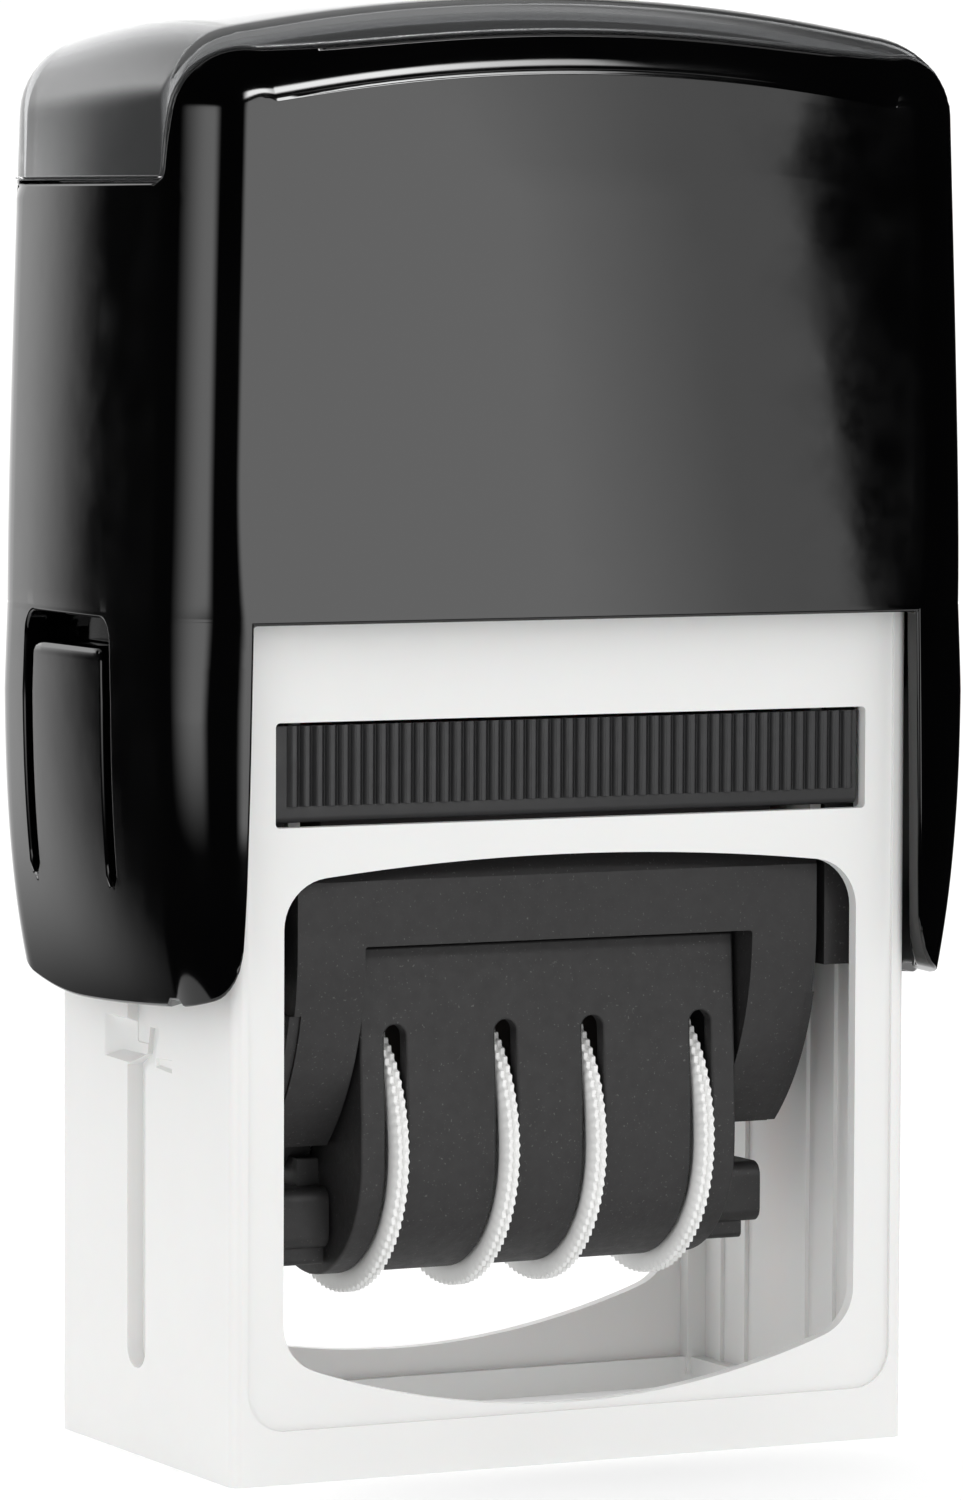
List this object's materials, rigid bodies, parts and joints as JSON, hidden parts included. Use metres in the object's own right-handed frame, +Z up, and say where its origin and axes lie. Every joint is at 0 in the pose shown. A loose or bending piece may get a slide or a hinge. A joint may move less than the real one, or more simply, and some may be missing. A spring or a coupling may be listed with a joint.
{
  "type": "self-inking date stamp",
  "caption": "Self-inking date stamp with a press-down cover, a sliding ink pad, a flipping die carriage and turning date wheels in an open base.",
  "frame": {"origin": "on the ground, under the middle of the base", "axes": "+Z up, +X along the width of the text plate, +Y towards the back, away from the ink pad's grip"},
  "size_m": [0.0714, 0.039, 0.117],
  "materials": {
    "white_plastic": "fine satin moulded white plastic",
    "gloss_black": "polished black moulded plastic",
    "matt_black": "spark-textured black plastic",
    "pad_black": "satin black plastic, ribbed grip",
    "felt": "ink-soaked felt",
    "smoky_clear": "polished clear plastic with a smoky tint",
    "grey_plastic": "light grey moulded plastic",
    "steel": "bright drawn steel",
    "die_rubber": "laser-cut dark rubber",
    "band_rubber": "moulded brown-black rubber"
  },
  "bodies": {
    "base": {"base_frame": "white_plastic", "main_spring": "steel"},
    "pad": {"ink_pad_tray": "pad_black", "ink_pad_felt": "felt"},
    "cover": {"cover_shell": "gloss_black", "yoke_frame": "matt_black", "pivot_pin_right": "steel", "pivot_pin_left": "steel"},
    "cap": {"index_cap": "smoky_clear"},
    "carriage": {"die_holder": "matt_black", "text_plate": "grey_plastic", "rubber_die": "die_rubber", "date_shield": "matt_black", "shield_latch_right": "matt_black", "shield_latch_left": "matt_black", "band_anvil": "grey_plastic", "wheel_axle": "steel", "month_band": "band_rubber", "day_tens_band": "band_rubber", "day_units_band": "band_rubber", "year_band": "band_rubber"},
    "month_dial": {"month_wheel": "grey_plastic"},
    "day_tens_dial": {"day_tens_wheel": "grey_plastic"},
    "day_units_dial": {"day_units_wheel": "grey_plastic"},
    "year_dial": {"year_wheel": "grey_plastic"}
  },
  "joints": [
    {"name": "press", "type": "slide", "parent": "base", "child": "cover", "axis": [0, 0, -1], "range_m": [0, 0.0305], "stiffness_N_per_m": 500, "springref_m": -0.01, "deforming": ["main_spring"]},
    {"name": "flip", "type": "hinge", "parent": "cover", "child": "carriage", "pos_m": [0, 0, 0.041], "axis": [-1, 0, 0], "range_deg": [0, 180]},
    {"name": "pad_slide", "type": "slide", "parent": "base", "child": "pad", "axis": [0, 1, 0], "range_m": [-0.036, 0]},
    {"name": "cap_lift", "type": "slide", "parent": "cover", "child": "cap", "axis": [0, 0, 1], "range_m": [0, 0.018]},
    {"name": "month_turn", "type": "hinge", "parent": "carriage", "child": "month_dial", "pos_m": [0, -0.0015, 0.0248], "axis": [1, 0, 0], "continuous": true},
    {"name": "day_tens_turn", "type": "hinge", "parent": "carriage", "child": "day_tens_dial", "pos_m": [0, -0.0015, 0.0248], "axis": [1, 0, 0], "continuous": true},
    {"name": "day_units_turn", "type": "hinge", "parent": "carriage", "child": "day_units_dial", "pos_m": [0, -0.0015, 0.0248], "axis": [1, 0, 0], "continuous": true},
    {"name": "year_turn", "type": "hinge", "parent": "carriage", "child": "year_dial", "pos_m": [0, -0.0015, 0.0248], "axis": [1, 0, 0], "continuous": true}
  ],
  "couplings": [
    {"joint": "flip", "follows": "press", "rad_per_m": 103}
  ]
}
